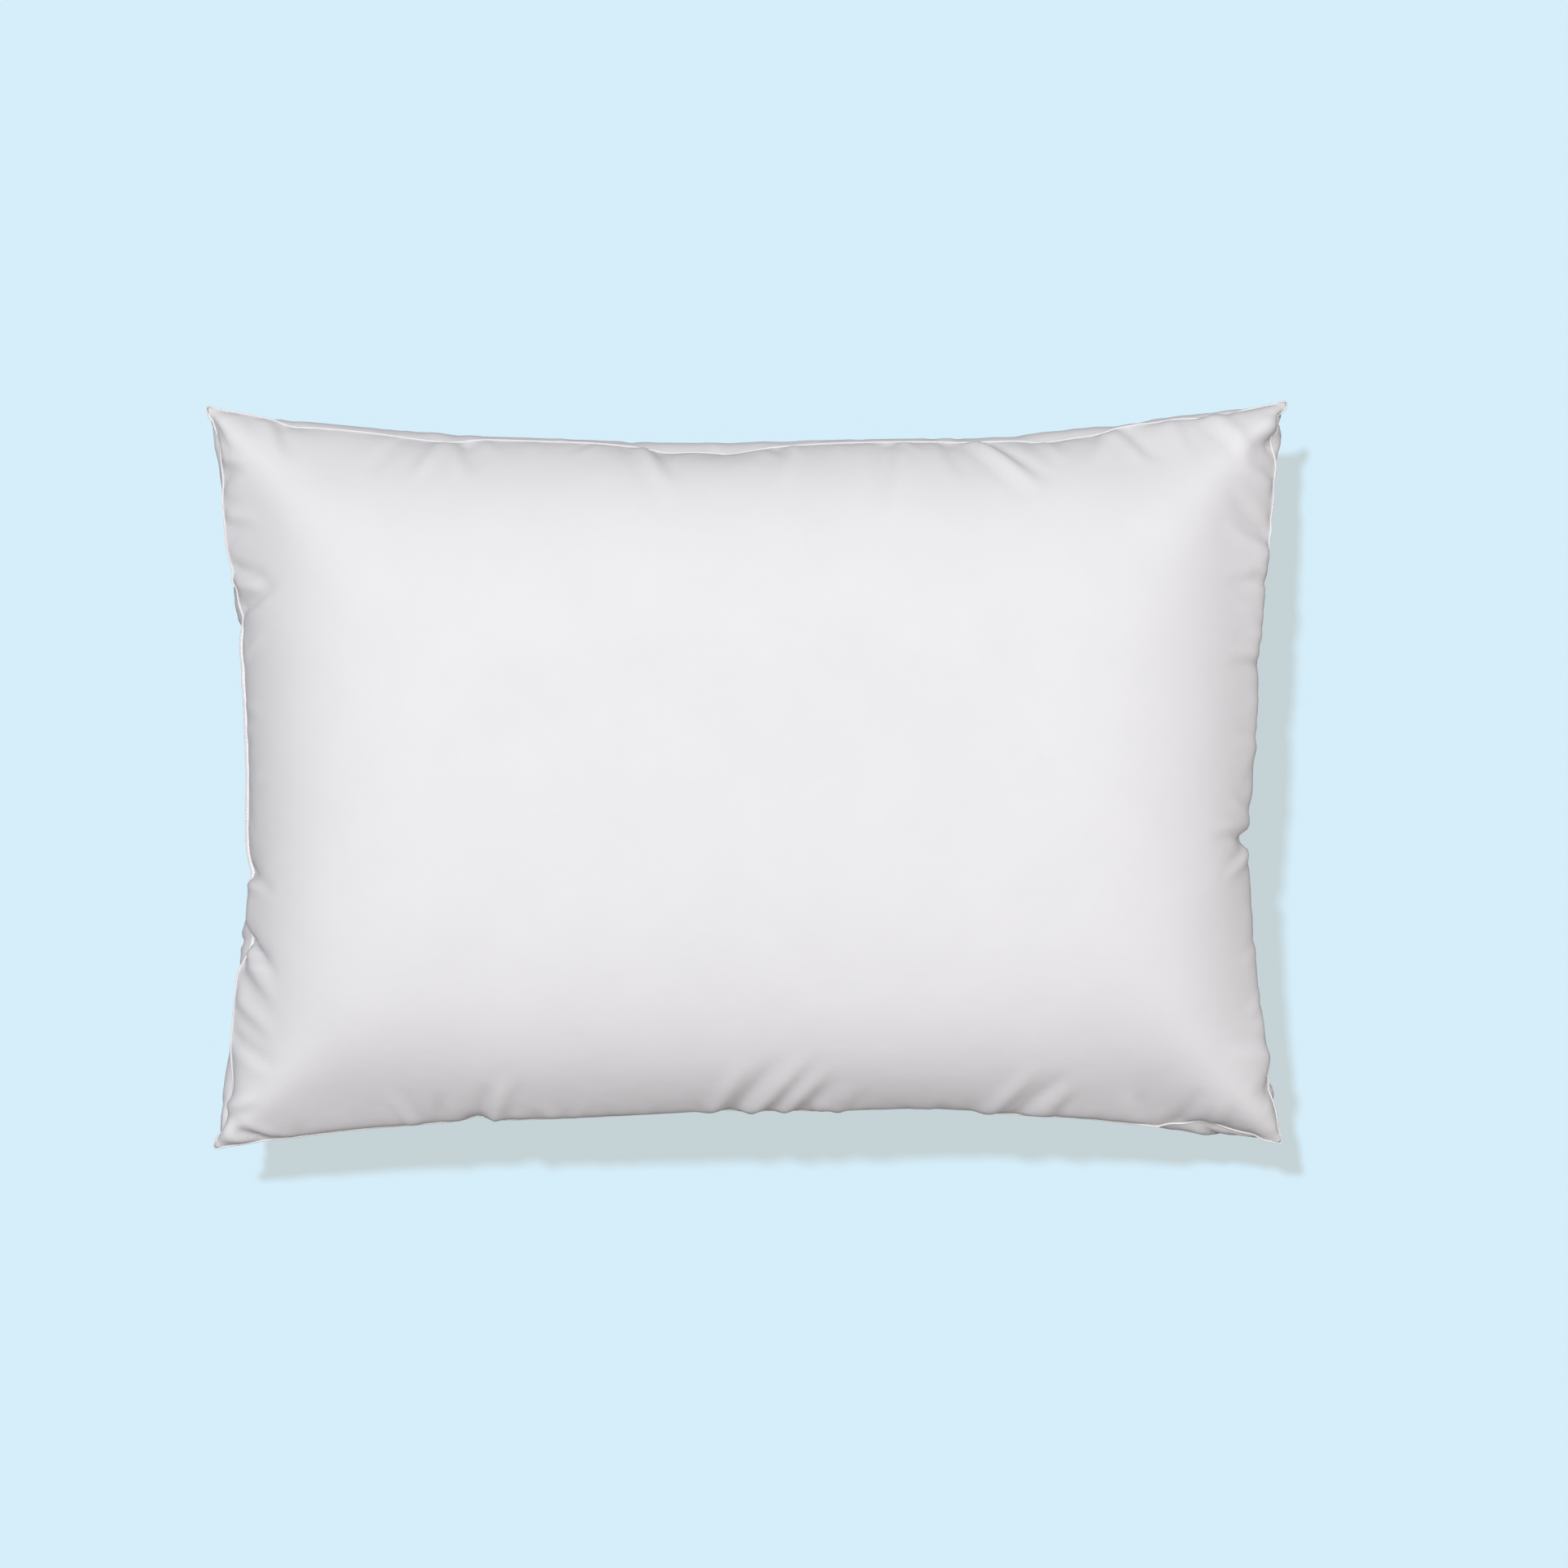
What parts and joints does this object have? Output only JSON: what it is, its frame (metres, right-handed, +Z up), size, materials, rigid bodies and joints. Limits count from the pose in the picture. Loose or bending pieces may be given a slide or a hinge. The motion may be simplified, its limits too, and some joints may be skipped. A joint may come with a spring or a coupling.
{
  "type": "bed pillow",
  "caption": "Rectangular bed pillow lying flat: a plump down-filled cotton casing with a piped edge, drawn-in sides and pointed corners.",
  "frame": {"origin": "on the surface the pillow lies on, under the middle of its overall box", "axes": "+X along the pillow's length, towards the side with the care label; +Y across its width; +Z up through its loft"},
  "size_m": [0.7, 0.4858, 0.168],
  "materials": {
    "casing": "fine white cotton, closely woven, matt with a faint sheen",
    "filling": "down and feather clusters, matt",
    "tape": "white bias-cut cotton tape, matt",
    "cord": "twisted undyed cotton, matt",
    "thread": "white spun sewing thread, satin",
    "label": "white woven satin tape, blank"
  },
  "bodies": {
    "root": {"top_panel": "casing", "bottom_panel": "casing", "down_fill": "filling", "piping_tape": "tape", "piping_cord": "cord", "seam_needle_thread": "thread", "seam_bobbin_thread": "thread", "closing_needle_thread": "thread", "closing_bobbin_thread": "thread", "care_label": "label"}
  },
  "joints": []
}
